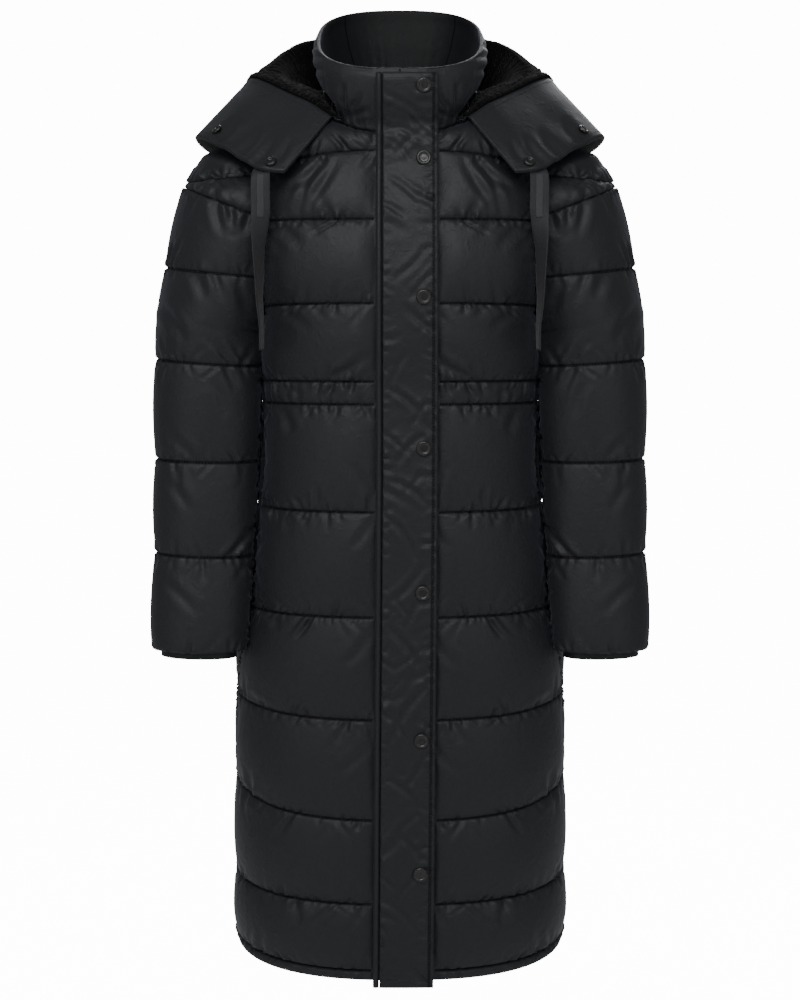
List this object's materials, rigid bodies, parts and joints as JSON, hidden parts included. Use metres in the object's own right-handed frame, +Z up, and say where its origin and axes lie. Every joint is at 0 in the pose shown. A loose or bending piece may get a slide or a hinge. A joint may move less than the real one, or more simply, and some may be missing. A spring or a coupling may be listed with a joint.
{
  "type": "long puffer coat",
  "caption": "Long quilted puffer coat, worn and filled out with no wearer: stand collar, storm flap with snap caps, open lined hood and drawstring tapes.",
  "frame": {"origin": "middle of the neck seam's ring, where the wearer's neck and shoulders carry the coat", "axes": "+Z up from hem to collar; -Y the front with the storm flap; -X the wearer's right"},
  "size_m": [0.655, 0.4025, 1.269],
  "materials": {
    "quilted_shell": "smooth nylon with a soft sheen",
    "smooth_facing": "smooth nylon with a soft sheen",
    "sherpa_lining": "matt curly pile",
    "drawstring_tape": "flat woven tape",
    "snap_enamel": "satin black enamel"
  },
  "bodies": {
    "root": {"front_right": "quilted_shell", "front_left": "quilted_shell", "back": "quilted_shell", "sleeve_right": "quilted_shell", "sleeve_left": "quilted_shell", "collar": "quilted_shell", "storm_flap": "quilted_shell", "flap_welt": "quilted_shell", "hood_shell": "quilted_shell", "pocket_welt_right": "quilted_shell", "pocket_welt_left": "quilted_shell", "storm_cuff_right": "smooth_facing", "storm_cuff_left": "smooth_facing", "hood_facing": "smooth_facing", "hood_lining": "sherpa_lining", "tape_right": "drawstring_tape", "tape_left": "drawstring_tape", "flap_snap_1": "snap_enamel", "flap_snap_2": "snap_enamel", "flap_snap_3": "snap_enamel", "flap_snap_4": "snap_enamel", "flap_snap_5": "snap_enamel", "flap_snap_6": "snap_enamel", "flap_snap_7": "snap_enamel", "hood_snap_right_1": "snap_enamel", "hood_snap_right_2": "snap_enamel", "hood_snap_left_1": "snap_enamel", "hood_snap_left_2": "snap_enamel"}
  },
  "joints": []
}
